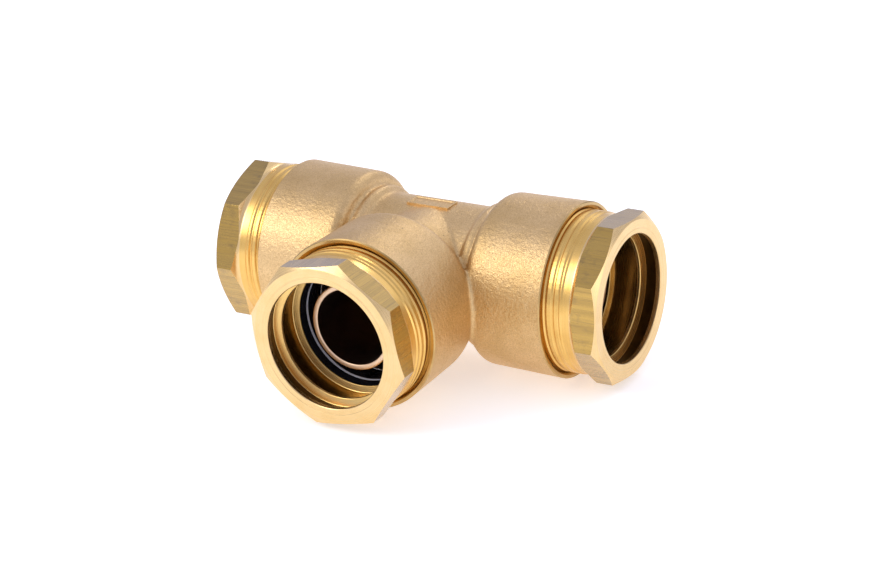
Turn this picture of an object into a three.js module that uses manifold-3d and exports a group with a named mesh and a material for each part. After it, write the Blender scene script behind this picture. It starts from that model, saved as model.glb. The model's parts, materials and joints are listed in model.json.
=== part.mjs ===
// A push-to-connect tee for 32 mm plastic water pipe: a cast gunmetal body with three
// sockets, and in each socket a screwed octagonal nut that holds a split grip ring over a
// backing washer, two O-rings with a spacer between them, and a liner tube that the pipe
// slides over. Millimetres, +Z up. The run lies along X and the branch points along -Y.
// The origin is on the surface the tee rests on, below the middle of its bounding box.
import * as THREE from 'three';
import { mergeVertices } from 'three/addons/utils/BufferGeometryUtils.js';
import Module from 'manifold-3d';

const wasm = await Module();
wasm.setup();

// Every name that ends in AT is a distance from the centre of the tee along an arm.
const GAP = 0.3; // room left between pieces that touch
const PIPE_RADIUS = 16;

// body casting
const BARREL_RADIUS = 17.7;
const COLLAR_RADIUS = 19.2; // low ring where a bell grows out of the barrel
const COLLAR_AT = 15.8;
const SHOULDER_AT = 19.2; // back face of a bell
const SHOULDER_ROUND = 2.8;
const BELL_RADIUS = 23;
const BELL_DRAFT = 0.4; // a bell is this much slimmer at its shoulder
const MOUTH_AT = 41.9;
const MOUTH_EDGE = 0.3; // broken outer edge of a mouth
const MOUTH_BEVEL_RADIUS = 22;
const PAD_LENGTH = 12.4; // plain raised casting pad on top of the barrel
const PAD_WIDTH = 4.8;
const PAD_TOP = 18.3;
const PAD_OFFSET = -0.9;

// machined inside of the body
const WATERWAY_RADIUS = 10.1;
const LINER_SEAT_AT = 14.5;
const PIPE_STOP_AT = 20; // the shoulder that the end of the pipe meets
const PILOT_RADIUS = PIPE_RADIUS + 0.4;
const SEAL_CHAMBER_AT = 22;
const SEAL_CHAMBER_RADIUS = 19.2;
const THREAD_RADIUS = 20.5; // middle of the M42 x 2 thread, which is left plain
const BORE_THREAD_RADIUS = THREAD_RADIUS + GAP / 2;
const NUT_THREAD_RADIUS = THREAD_RADIUS - GAP / 2;

// pieces in the seal chamber, from its floor outwards
const ORING_SECTION = 3;
const ORING_OUTER_RADIUS = SEAL_CHAMBER_RADIUS - GAP;
const INNER_ORING_AT = SEAL_CHAMBER_AT + GAP + ORING_SECTION / 2;
const SPACER_AT = INNER_ORING_AT + ORING_SECTION / 2 + GAP;
const SPACER_LENGTH = 1.5;
const OUTER_ORING_AT = SPACER_AT + SPACER_LENGTH + GAP + ORING_SECTION / 2;
const WASHER_AT = OUTER_ORING_AT + ORING_SECTION / 2 + GAP;
const WASHER_THICKNESS = 1;
const CHAMBER_RING_RADIUS = SEAL_CHAMBER_RADIUS - GAP; // outside of the washer and the spacer
const CHAMBER_RING_BORE = 16.4;

// liner tube pressed into the body
const LINER_RADIUS = 11.46;
const LINER_BORE = 10.05;
const LINER_END_AT = 43.7;
const LINER_EDGE = 0.25;

// nut
const NUT_BACK_AT = WASHER_AT + WASHER_THICKNESS + GAP;
const NUT_FRONT_AT = 56.5;
const NUT_SIDES = 8;
const NUT_CORNER_RADIUS = 22.5;
const NUT_FACE_RADIUS = 20.37; // flat front face inside the chamfer
const FRONT_CHAMFER_SLOPE = 0.563; // length along the arm for each mm of radius
const REAR_CORNER_AT = 50.85; // where the rear chamfer meets the corners
const REAR_CHAMFER_SLOPE = 0.577;
const BLANK_RADIUS = NUT_CORNER_RADIUS + 0.4; // round bar before the flats are milled
const NUT_MOUTH_RADIUS = 16.7;
const LIP_LENGTH = 1.2;
const LIP_EDGE = 0.3;
const GROOVE_RADIUS = 18.2;
const LAND_FRONT_AT = NUT_FRONT_AT - 4.9;
const LAND_LENGTH = 1.5;
const LAND_RADIUS = 16.2;
const INNER_RING_FRONT_AT = 42.6;
const INNER_RING_LENGTH = 1;
const INNER_RING_RADIUS = 16.5;
const SEAT_NARROW_RADIUS = 17.3; // cone that squeezes the grip ring
const SEAT_WIDE_RADIUS = 18.9;
const SEAT_NARROW_AT = INNER_RING_FRONT_AT - INNER_RING_LENGTH;

// grip ring
const GRIP_FLOAT = 1; // free travel of the grip ring inside the nut
const GRIP_BACK_AT = NUT_BACK_AT - GAP + GRIP_FLOAT + GAP;
const GRIP_FRONT_AT = SEAT_NARROW_AT - GAP;
const GRIP_MOUTH_RADIUS = 16.6;
const TOOTH_CREST_RADIUS = PIPE_RADIUS - 0.1;
const TOOTH_ROOT_RADIUS = PIPE_RADIUS + 0.4;
const FIRST_TOOTH_AT = 38.9;
const TOOTH_PITCH = 2.1;
const TOOTH_COUNT = 3;
const TOOTH_BACK = 0.3; // length of the steep side of a tooth
const SPLIT_WIDTH = 2.4;
const SLIT_WIDTH = 1.2;
const SLIT_COUNT = 5; // slits that leave the front of the ring whole
const SLIT_END_AT = 37.6;

// steps round the turned pieces
const BODY_STEPS = 32;
const NUT_STEPS = 32;
const RING_STEPS = 24;
const ORING_SECTION_STEPS = 6;
const SHOULDER_STEPS = 3;

const degrees = THREE.MathUtils.degToRad;

// A closed geometry as a solid that can be joined and cut.
function solidOf(geometry) {
  geometry.deleteAttribute('normal');
  geometry.deleteAttribute('uv');
  const merged = mergeVertices(geometry, 1e-4);
  const corners = merged.index.array;
  const triangles = [];
  for (let i = 0; i < corners.length; i += 3) {
    const [a, b, c] = corners.slice(i, i + 3);
    if (a !== b && b !== c && c !== a) {
      triangles.push(a, b, c);
    }
  }
  const mesh = new wasm.Mesh({
    numProp: 3,
    vertProperties: new Float32Array(merged.attributes.position.array),
    triVerts: new Uint32Array(triangles),
  });
  return new wasm.Manifold(mesh);
}

function geometryOf(solid) {
  const mesh = solid.getMesh();
  const geometry = new THREE.BufferGeometry();
  geometry.setAttribute('position', new THREE.BufferAttribute(mesh.vertProperties, 3));
  geometry.setIndex(new THREE.BufferAttribute(mesh.triVerts, 1));
  geometry.computeVertexNormals();
  return geometry;
}

// A solid turned about the arm, which is +X here. The outline's points are
// [distance along the arm, radius]: outwards along the outside, and back along the bore.
function turned(outline, steps) {
  const points = outline.map(([along, radius]) => new THREE.Vector2(radius, along));
  const geometry = new THREE.LatheGeometry(points, steps);
  geometry.rotateZ(degrees(-90));
  return solidOf(geometry);
}

// A plain ring of rectangular section.
function ring(startAt, endAt, radius, bore, steps) {
  const outline = [[startAt, bore], [startAt, radius], [endAt, radius], [endAt, bore], [startAt, bore]];
  return turned(outline, steps);
}

function bar(startAt, endAt, radius, steps) {
  return turned([[startAt, 0], [startAt, radius], [endAt, radius], [endAt, 0]], steps);
}

// A solid made along +X, turned about Z to lie along its arm.
function alongArm(solid, arm) {
  return solid.rotate([0, 0, arm.heading]);
}

function bell() {
  const shoulderRadius = BELL_RADIUS - BELL_DRAFT;
  const outline = [[COLLAR_AT, 0], [COLLAR_AT, COLLAR_RADIUS], [SHOULDER_AT, COLLAR_RADIUS]];
  for (let step = 0; step <= SHOULDER_STEPS; step += 1) {
    const angle = degrees((90 * step) / SHOULDER_STEPS);
    outline.push([
      SHOULDER_AT + SHOULDER_ROUND * (1 - Math.cos(angle)),
      shoulderRadius - SHOULDER_ROUND * (1 - Math.sin(angle)),
    ]);
  }
  outline.push([MOUTH_AT - MOUTH_EDGE, BELL_RADIUS], [MOUTH_AT, BELL_RADIUS - MOUTH_EDGE], [MOUTH_AT, 0]);
  return turned(outline, BODY_STEPS);
}

// Everything that is cored or machined out of one arm, as a solid to take away.
function armBore() {
  const pastCentre = -1;
  const pastMouth = 1;
  const bevelLength = MOUTH_BEVEL_RADIUS - BORE_THREAD_RADIUS;
  const outline = [
    [pastCentre, 0],
    [pastCentre, WATERWAY_RADIUS],
    [LINER_SEAT_AT, WATERWAY_RADIUS],
    [LINER_SEAT_AT, LINER_RADIUS + GAP],
    [PIPE_STOP_AT, LINER_RADIUS + GAP],
    [PIPE_STOP_AT, PILOT_RADIUS],
    [SEAL_CHAMBER_AT, PILOT_RADIUS],
    [SEAL_CHAMBER_AT, SEAL_CHAMBER_RADIUS],
    [NUT_BACK_AT - GAP, SEAL_CHAMBER_RADIUS],
    [NUT_BACK_AT - GAP, BORE_THREAD_RADIUS],
    [MOUTH_AT - bevelLength, BORE_THREAD_RADIUS],
    [MOUTH_AT + pastMouth, MOUTH_BEVEL_RADIUS + pastMouth],
    [MOUTH_AT + pastMouth, 0],
  ];
  return turned(outline, BODY_STEPS);
}

function castingPad() {
  const depth = PAD_TOP / 2;
  const box = new THREE.BoxGeometry(PAD_LENGTH, PAD_WIDTH, depth);
  box.translate(PAD_OFFSET, 0, PAD_TOP - depth / 2);
  return solidOf(box);
}

function teeBody(arms) {
  let casting = castingPad();
  for (const arm of arms) {
    casting = casting.add(alongArm(bar(0, SHOULDER_AT + 1, BARREL_RADIUS, BODY_STEPS), arm));
    casting = casting.add(alongArm(bell(), arm));
  }
  for (const arm of arms) {
    casting = casting.subtract(alongArm(armBore(), arm));
  }
  return geometryOf(casting);
}

function liner() {
  const outline = [
    [LINER_SEAT_AT + GAP, LINER_BORE],
    [LINER_SEAT_AT + GAP, LINER_RADIUS],
    [LINER_END_AT - LINER_EDGE, LINER_RADIUS],
    [LINER_END_AT, LINER_RADIUS - LINER_EDGE],
    [LINER_END_AT, LINER_BORE],
    [LINER_SEAT_AT + GAP, LINER_BORE],
  ];
  return geometryOf(turned(outline, RING_STEPS));
}

function oRing(middleAt) {
  const section = ORING_SECTION / 2;
  const geometry = new THREE.TorusGeometry(
    ORING_OUTER_RADIUS - section, section, ORING_SECTION_STEPS, RING_STEPS);
  geometry.rotateY(degrees(90));
  geometry.translate(middleAt, 0, 0);
  return geometryOf(solidOf(geometry));
}

function spacerRing() {
  const endAt = SPACER_AT + SPACER_LENGTH;
  return geometryOf(ring(SPACER_AT, endAt, CHAMBER_RING_RADIUS, CHAMBER_RING_BORE, RING_STEPS));
}

function backingWasher() {
  const endAt = WASHER_AT + WASHER_THICKNESS;
  return geometryOf(ring(WASHER_AT, endAt, CHAMBER_RING_RADIUS, CHAMBER_RING_BORE, RING_STEPS));
}

// Turned like a bar with two chamfers, then milled to eight flats that stop at the thread.
function nut() {
  const frontChamferAt = NUT_FRONT_AT - FRONT_CHAMFER_SLOPE * (BLANK_RADIUS - NUT_FACE_RADIUS);
  const rearBlankAt = REAR_CORNER_AT + REAR_CHAMFER_SLOPE * (BLANK_RADIUS - NUT_CORNER_RADIUS);
  const rearRootAt = REAR_CORNER_AT - REAR_CHAMFER_SLOPE * (NUT_CORNER_RADIUS - NUT_THREAD_RADIUS);
  const landBackAt = LAND_FRONT_AT - LAND_LENGTH;
  const lipBackAt = NUT_FRONT_AT - LIP_LENGTH;
  const outline = [
    [NUT_BACK_AT, SEAT_WIDE_RADIUS],
    [NUT_BACK_AT, NUT_THREAD_RADIUS - GAP],
    [NUT_BACK_AT + GAP, NUT_THREAD_RADIUS],
    [rearRootAt, NUT_THREAD_RADIUS],
    [rearBlankAt, BLANK_RADIUS],
    [frontChamferAt, BLANK_RADIUS],
    [NUT_FRONT_AT, NUT_FACE_RADIUS],
    [NUT_FRONT_AT, NUT_MOUTH_RADIUS + LIP_EDGE],
    [NUT_FRONT_AT - LIP_EDGE, NUT_MOUTH_RADIUS],
    [lipBackAt, NUT_MOUTH_RADIUS],
    [lipBackAt, GROOVE_RADIUS],
    [LAND_FRONT_AT, GROOVE_RADIUS],
    [LAND_FRONT_AT, LAND_RADIUS],
    [landBackAt, LAND_RADIUS],
    [landBackAt, GROOVE_RADIUS],
    [INNER_RING_FRONT_AT, GROOVE_RADIUS],
    [INNER_RING_FRONT_AT, INNER_RING_RADIUS],
    [SEAT_NARROW_AT, INNER_RING_RADIUS],
    [SEAT_NARROW_AT, SEAT_NARROW_RADIUS],
    [NUT_BACK_AT, SEAT_WIDE_RADIUS],
  ];
  const length = NUT_FRONT_AT - NUT_BACK_AT + 2;
  const octagon = new THREE.CylinderGeometry(NUT_CORNER_RADIUS, NUT_CORNER_RADIUS, length, NUT_SIDES);
  octagon.rotateZ(degrees(-90));
  octagon.translate((NUT_FRONT_AT + NUT_BACK_AT) / 2, 0, 0);
  return geometryOf(turned(outline, NUT_STEPS).intersect(solidOf(octagon)));
}

// Radius of the nut's cone, which the outside of the grip ring follows.
function seatRadius(at) {
  const fraction = (SEAT_NARROW_AT - at) / (SEAT_NARROW_AT - NUT_BACK_AT);
  return SEAT_NARROW_RADIUS + fraction * (SEAT_WIDE_RADIUS - SEAT_NARROW_RADIUS);
}

function slit(startAt, endAt, width, angle) {
  const length = endAt - startAt;
  const box = new THREE.BoxGeometry(length, width, SEAT_WIDE_RADIUS);
  box.translate((startAt + endAt) / 2, 0, TOOTH_CREST_RADIUS);
  box.rotateX(degrees(angle));
  return solidOf(box);
}

// A cone outside and saw teeth inside, split once right through and slit from its back.
function gripRing() {
  const outline = [
    [GRIP_BACK_AT, TOOTH_ROOT_RADIUS],
    [GRIP_BACK_AT, seatRadius(GRIP_BACK_AT) - GAP],
    [GRIP_FRONT_AT, seatRadius(GRIP_FRONT_AT) - GAP],
    [GRIP_FRONT_AT, GRIP_MOUTH_RADIUS],
  ];
  for (let tooth = 0; tooth < TOOTH_COUNT; tooth += 1) {
    const crestAt = FIRST_TOOTH_AT - tooth * TOOTH_PITCH;
    outline.push([crestAt, TOOTH_CREST_RADIUS], [crestAt - TOOTH_BACK, TOOTH_ROOT_RADIUS]);
  }
  outline.push([GRIP_BACK_AT, TOOTH_ROOT_RADIUS]);
  let solid = turned(outline, RING_STEPS);
  solid = solid.subtract(slit(GRIP_BACK_AT - 1, GRIP_FRONT_AT + 1, SPLIT_WIDTH, 0));
  for (let number = 1; number <= SLIT_COUNT; number += 1) {
    const angle = (360 * number) / (SLIT_COUNT + 1);
    solid = solid.subtract(slit(GRIP_BACK_AT - 1, SLIT_END_AT, SLIT_WIDTH, angle));
  }
  return geometryOf(solid);
}

function metal(color, roughness) {
  return new THREE.MeshStandardMaterial({ color, roughness, metalness: 1 });
}

const gunmetal = metal('#b3925f', 0.55);
const brass = metal('#c9a24e', 0.25);
const copper = metal('#c98f6a', 0.35);
const stainless = metal('#c4c6c8', 0.3);
const acetal = new THREE.MeshStandardMaterial({ color: '#111213', roughness: 0.4 });
const rubber = new THREE.MeshStandardMaterial({ color: '#0c0d0f', roughness: 0.6 });
const nylon = new THREE.MeshStandardMaterial({ color: '#d9d6cc', roughness: 0.5 });

// One arm each: where it heads about Z, and how far its nut is turned about the arm.
const arms = [
  { name: 'right', heading: 0, nutTurn: -26.9 },
  { name: 'left', heading: 180, nutTurn: -1.6 },
  { name: 'branch', heading: -90, nutTurn: -12.5 },
];

// The pieces of one socket, in the order in which they go in.
const socketPieces = [
  { name: 'liner', geometry: liner(), material: copper },
  { name: 'inner_oring', geometry: oRing(INNER_ORING_AT), material: rubber },
  { name: 'spacer_ring', geometry: spacerRing(), material: nylon },
  { name: 'outer_oring', geometry: oRing(OUTER_ORING_AT), material: rubber },
  { name: 'backing_washer', geometry: backingWasher(), material: stainless },
  { name: 'grip_ring', geometry: gripRing(), material: acetal },
  { name: 'nut', geometry: nut(), material: brass },
];

function socket(arm) {
  const group = new THREE.Group();
  group.rotation.z = degrees(arm.heading);
  for (const piece of socketPieces) {
    const mesh = new THREE.Mesh(piece.geometry, piece.material.clone());
    mesh.name = `${arm.name}_${piece.name}`;
    if (piece.name === 'nut') {
      mesh.rotation.x = degrees(arm.nutTurn);
    }
    group.add(mesh);
  }
  return group;
}

const tee = new THREE.Group();
tee.position.set(0, (NUT_FRONT_AT - BELL_RADIUS) / 2, BELL_RADIUS);
const body = new THREE.Mesh(teeBody(arms), gunmetal);
body.name = 'tee_body';
tee.add(body);
for (const arm of arms) {
  tee.add(socket(arm));
}

export default tee;
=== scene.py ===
# %% [markdown]
# # A push-to-connect pipe tee in gunmetal and brass
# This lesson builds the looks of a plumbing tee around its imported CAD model. The tee is a sand cast
# body with three machined sockets. Each socket holds an octagonal brass nut, and behind the nut a
# black grip ring, a steel washer, two O-rings with a spacer, and a copper liner tube.
# The CAD model says where everything is. Here every piece is modelled again with the fine shape
# that light shows: real threads, broken edges, saw teeth and the soft skin of a casting.

# %% Load the CAD frame
import json
import math

import bpy
from mathutils import Matrix, Vector

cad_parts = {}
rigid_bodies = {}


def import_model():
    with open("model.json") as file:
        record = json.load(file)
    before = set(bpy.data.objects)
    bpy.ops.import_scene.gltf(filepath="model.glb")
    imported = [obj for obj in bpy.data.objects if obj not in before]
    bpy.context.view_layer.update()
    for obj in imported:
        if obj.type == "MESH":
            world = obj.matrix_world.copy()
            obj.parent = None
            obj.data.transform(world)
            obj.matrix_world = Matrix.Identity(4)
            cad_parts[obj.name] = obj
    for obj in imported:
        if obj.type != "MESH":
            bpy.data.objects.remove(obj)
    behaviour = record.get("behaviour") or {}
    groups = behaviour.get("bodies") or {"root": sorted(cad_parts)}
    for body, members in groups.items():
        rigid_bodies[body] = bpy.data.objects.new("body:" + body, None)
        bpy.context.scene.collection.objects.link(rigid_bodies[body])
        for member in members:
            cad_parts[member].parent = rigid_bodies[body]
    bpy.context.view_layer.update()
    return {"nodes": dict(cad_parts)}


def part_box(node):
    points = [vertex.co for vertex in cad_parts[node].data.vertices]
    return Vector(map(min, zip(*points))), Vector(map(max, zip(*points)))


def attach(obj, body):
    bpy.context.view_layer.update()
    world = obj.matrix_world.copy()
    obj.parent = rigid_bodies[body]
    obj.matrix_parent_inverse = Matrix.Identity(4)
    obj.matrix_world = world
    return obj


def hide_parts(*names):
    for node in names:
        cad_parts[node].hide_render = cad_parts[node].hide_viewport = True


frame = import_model()
nodes = frame["nodes"]
MM = 0.001

# %% [markdown]
# ## Where things are
# All places come from the CAD nodes' boxes. The tee's centre is where the axes of the three sockets
# meet. A socket is described along its own axis: *along* is the distance from the centre, *radius*
# the distance from the axis. That is how a turner thinks of it, and it makes the three arms one job.

# %% The centre and the three arms
body_low, body_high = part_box("tee_body")
bell_radius = (body_high.z - body_low.z) / 2
centre = Vector((0, body_high.y - bell_radius, body_low.z + bell_radius))
arms = {"right": Vector((1, 0, 0)), "left": Vector((-1, 0, 0)), "branch": Vector((0, -1, 0))}
UP = Vector((0, 0, 1))


def side_of(out):
    """The level direction square to an arm, which starts the count of angles round it."""
    return UP.cross(out)


def arm_direction(out):
    """The two arms of the run lie along X, and the branch along Y."""
    return "run" if abs(out.x) > 0.5 else "branch"


def reach(node):
    """Where a node of the right arm starts and ends along the arm, and its largest radius."""
    low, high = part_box(node)
    return low.x - centre.x, high.x - centre.x, high.z - centre.z


mouth_at = body_high.x - centre.x
nut_back, nut_front, _ = reach("right_nut")
print("mouth at %.1f mm, nut from %.1f to %.1f mm" % (mouth_at / MM, nut_back / MM, nut_front / MM))

# %% [markdown]
# Each nut stopped at its own angle when it was screwed in. The corner of the octagon that is
# farthest from the axis tells that angle, so the new nuts stand exactly as the CAD nuts do.

# %% How far each nut is turned
CORNER_STEP = 45


def nut_turn(name, out):
    """The angle of a nut's corners round its arm, as a value under one eighth of a turn."""
    best = max(
        (vertex.co - centre for vertex in nodes[name + "_nut"].data.vertices),
        key=lambda offset: (offset - out * offset.dot(out)).length,
    )
    angle = math.degrees(math.atan2(best.dot(UP), best.dot(side_of(out))))
    return angle % CORNER_STEP


nut_turns = {name: nut_turn(name, out) for name, out in arms.items()}
print("nut corners at", {name: round(angle, 1) for name, angle in nut_turns.items()})

# %% [markdown]
# ## The camera
# A long lens from the front right, a little above the part, slightly rolled. It is made first,
# because everything else is judged through it. It aims a little below the centre of the tee.

# %% Camera
VIEW_AZIMUTH = math.radians(31.19)
VIEW_ELEVATION = math.radians(22.71)
VIEW_ROLL = math.radians(-3.28)
VIEW_DISTANCE = 706.3 * MM
AIM_RIGHT = -0.3 * MM
AIM_UP = -6.66 * MM
SENSOR_WIDTH = 36
LENS = 110.67


def add_camera():
    """A camera whose own axes are the rolled right, the rolled up and the way back from the tee."""
    level = math.cos(VIEW_ELEVATION)
    back = Vector(
        (math.sin(VIEW_AZIMUTH) * level, -math.cos(VIEW_AZIMUTH) * level, math.sin(VIEW_ELEVATION))
    )
    right = (-back).cross(UP).normalized()
    up = back.cross(right)
    rolled_right = right * math.cos(VIEW_ROLL) + up * math.sin(VIEW_ROLL)
    rolled_up = up * math.cos(VIEW_ROLL) - right * math.sin(VIEW_ROLL)
    bpy.ops.object.camera_add(
        location=centre + back * VIEW_DISTANCE + rolled_right * AIM_RIGHT + rolled_up * AIM_UP
    )
    camera = bpy.context.object
    matrix = camera.matrix_world.copy()
    for column, direction in enumerate((rolled_right, rolled_up, back)):
        for row in range(3):
            matrix[row][column] = direction[row]
    for row in range(3):
        matrix[row][3] = camera.location[row]
    camera.matrix_world = matrix
    camera.data.sensor_width = SENSOR_WIDTH
    camera.data.lens = LENS
    camera.data.clip_start = 0.01
    return camera


bpy.context.scene.camera = add_camera()
print("camera at", [round(value, 3) for value in bpy.context.scene.camera.location])

# %% [markdown]
# ## Drawing and turning on the bench
# Nearly every piece here is round, so it is made as on a lathe. One point is extruded from place to
# place to draw half of the section, and `spin` turns that outline round the X axis. The
# alternative, stacking cylinders and cutting them with booleans, leaves worse edges and says less.
# The three sockets are alike, so a piece is made once at the world's origin, the bench, and copies
# are then carried to the arms.

# %% Helpers: draw an outline, spin it, apply a modifier
TURN_STEPS = 160
MERGE_DISTANCE = 1e-6
SMOOTH_ANGLE = 28


def only(piece):
    """Make one object the only selected and active one."""
    bpy.ops.object.select_all(action="DESELECT")
    piece.select_set(True)
    bpy.context.view_layer.objects.active = piece


def edit(piece, select="SELECT"):
    """Open a piece in edit mode with all of its points selected, or none."""
    only(piece)
    bpy.ops.object.mode_set(mode="EDIT")
    bpy.ops.mesh.select_mode(type="VERT")
    bpy.ops.mesh.select_all(action=select)


def done():
    """Leave edit mode, which writes the edited mesh back to the piece."""
    bpy.ops.object.mode_set(mode="OBJECT")


def draw(name, outline):
    """A chain of edges through (along, radius) points in millimetres, extruded from point to point."""
    points = [Vector((along, 0, radius)) * MM for along, radius in outline]
    bpy.ops.object.select_all(action="DESELECT")
    bpy.ops.mesh.primitive_plane_add(size=MM)
    piece = bpy.context.object
    piece.name = name
    edit(piece)
    bpy.ops.mesh.merge(type="CENTER")
    bpy.ops.transform.translate(value=points[0])
    for here, there in zip(points, points[1:]):
        bpy.ops.mesh.extrude_region_move(TRANSFORM_OT_translate={"value": there - here})
    done()
    return piece


def close_up(piece):
    """Merge what meets and turn every face outwards."""
    edit(piece)
    bpy.ops.mesh.remove_doubles(threshold=MERGE_DISTANCE)
    bpy.ops.mesh.normals_make_consistent(inside=False)
    done()


def wear(piece, finish):
    """Give the piece one finish all over."""
    piece.data.materials.clear()
    piece.data.materials.append(finishes[finish])
    return piece


def wear_where(piece, finish, chosen):
    """Give a second finish to the faces whose place, (along, radius) in millimetres, is chosen."""
    piece.data.materials.append(finishes[finish])
    for face in piece.data.polygons:
        along, radius = face.center.x / MM, math.hypot(face.center.y, face.center.z) / MM
        if chosen(along, radius):
            face.material_index = len(piece.data.materials) - 1


def turned(name, outline, finish):
    """Spin an outline round the X axis of the bench."""
    piece = draw(name, outline)
    edit(piece)
    bpy.ops.mesh.spin(steps=TURN_STEPS, angle=2 * math.pi, center=(0, 0, 0), axis=(1, 0, 0))
    done()
    close_up(piece)
    return wear(piece, finish)


def apply(piece, kind, **settings):
    """Add a modifier with these settings and apply it."""
    only(piece)
    modifier = piece.modifiers.new(kind.lower(), kind)
    for key, value in settings.items():
        setattr(modifier, key, value)
    bpy.ops.object.modifier_apply(modifier=modifier.name)


def combine(piece, other, operation):
    """Join, cut or keep the common part; faces keep the finish of the solid they come from."""
    apply(piece, "BOOLEAN", operation=operation, object=other, solver="EXACT", material_mode="TRANSFER")
    bpy.data.objects.remove(other)


def smooth(piece, angle=SMOOTH_ANGLE):
    """Smooth shading up to an angle; wide faces keep their own normals, so flats stay flat."""
    only(piece)
    bpy.ops.object.shade_smooth_by_angle(angle=math.radians(angle))
    apply(piece, "WEIGHTED_NORMAL", weight=100, keep_sharp=True)


def break_edges(piece, width):
    """Bevel every sharp edge, as a file or a chamfer tool would."""
    apply(
        piece, "BEVEL", width=width * MM, segments=2, limit_method="ANGLE",
        angle_limit=math.radians(SMOOTH_ANGLE), use_clamp_overlap=True,
    )


def arc(along, radius, size, start, end, steps):
    """Points on a round corner: its centre, its size, and its first and last angle in degrees."""
    points = []
    for step in range(steps + 1):
        angle = math.radians(start + (end - start) * step / steps)
        points.append((along + size * math.cos(angle), radius + size * math.sin(angle)))
    return points


print("a turned piece has", TURN_STEPS, "steps round its axis")

# %% [markdown]
# A piece leaves the bench as a copy with its own mesh. It is turned about its axis, swung to its
# arm's heading and moved to the tee's centre, and then its place is applied to the mesh, so that
# the object itself stays at the origin. Rings run round X in the run and round Y in the branch, so
# the copy for the branch swaps each finish for its branch twin.

# %% Helper: carry a copy to an arm
def carry(piece, name, out, turn=0.0):
    """Copy a bench piece to its arm, turned round its own axis by some degrees."""
    only(piece)
    bpy.ops.object.duplicate()
    copy = bpy.context.object
    copy.name = name
    swing = Matrix.Rotation(math.atan2(out.y, out.x), 4, "Z")
    roll = Matrix.Rotation(math.radians(turn), 4, "X")
    copy.matrix_world = Matrix.Translation(centre) @ swing @ roll
    bpy.ops.object.transform_apply(location=True, rotation=True, scale=True)
    if arm_direction(out) == "branch":
        for index, material in enumerate(copy.data.materials):
            twin = material.name.replace("_run", "_branch")
            copy.data.materials[index] = bpy.data.materials[twin]
    return copy


def clear_bench(*pieces):
    """Remove pieces whose copies are already on their arms."""
    for piece in pieces:
        bpy.data.objects.remove(piece)


print("copies are carried to", ", ".join(arms))

# %% [markdown]
# ## Finishes
# Metal shows its making. A casting has the grain of sand and of bead blasting. A turned face has
# rings that follow the tool, so its pattern must depend only on the distance from the axis and the
# distance along it, and not on the angle. A drawn bar has scratches along its length. Each finish
# is a node tree on object coordinates. Every finished piece has its own origin at the world's, so
# these are the same for all of them, and a pattern runs on from one piece to the next.

# %% Helper: build a node tree in words
def node(tree, kind, inputs=None, **settings):
    """Add a node; an input is given another node's output or a plain value."""
    made = tree.nodes.new(kind)
    for key, value in settings.items():
        setattr(made, key, value)
    for key, value in (inputs or {}).items():
        if isinstance(value, bpy.types.NodeSocket):
            tree.links.new(value, made.inputs[key])
        else:
            made.inputs[key].default_value = value
    return made


def new_finish(name, color, roughness, metallic=1.0):
    """A new material with its node tree and its shader."""
    material = bpy.data.materials.new(name)
    material.use_nodes = True
    material.diffuse_color = (*color, 1)
    shader = material.node_tree.nodes["Principled BSDF"]
    shader.inputs["Base Color"].default_value = (*color, 1)
    shader.inputs["Roughness"].default_value = roughness
    shader.inputs["Metallic"].default_value = metallic
    return material, material.node_tree, shader


def from_centre(tree):
    """Object coordinates with the tee's centre as their zero."""
    coordinates = node(tree, "ShaderNodeTexCoord")
    mapping = node(tree, "ShaderNodeMapping", {"Vector": coordinates.outputs["Object"], "Location": -centre})
    return mapping.outputs["Vector"]


def noise(tree, vector, scale, detail=3.0, roughness=0.55):
    """Noise whose grains are about 1/scale metres across."""
    inputs = {"Vector": vector, "Scale": scale, "Detail": detail, "Roughness": roughness}
    return node(tree, "ShaderNodeTexNoise", inputs).outputs["Fac"]


def spread(tree, value, low, high, to_low, to_high):
    """Stretch a value from one range to another, clamped at the ends."""
    inputs = {"Value": value, "From Min": low, "From Max": high, "To Min": to_low, "To Max": to_high}
    return node(tree, "ShaderNodeMapRange", inputs).outputs["Result"]


def blend_colors(tree, amount, first, second):
    """Mix two colours; either may be a colour or another node's output."""
    mix = node(tree, "ShaderNodeMix", {0: amount}, data_type="RGBA")
    for index, value in ((6, first), (7, second)):
        if isinstance(value, bpy.types.NodeSocket):
            tree.links.new(value, mix.inputs[index])
        else:
            mix.inputs[index].default_value = (*value, 1)
    return mix.outputs[2]


def bump(tree, height, distance, strength=1.0, normal=None):
    """Raise the surface by height times distance, in metres."""
    inputs = {"Height": height, "Distance": distance, "Strength": strength}
    if normal is not None:
        inputs["Normal"] = normal
    return node(tree, "ShaderNodeBump", inputs).outputs["Normal"]


print("finishes are node trees on object coordinates")
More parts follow.
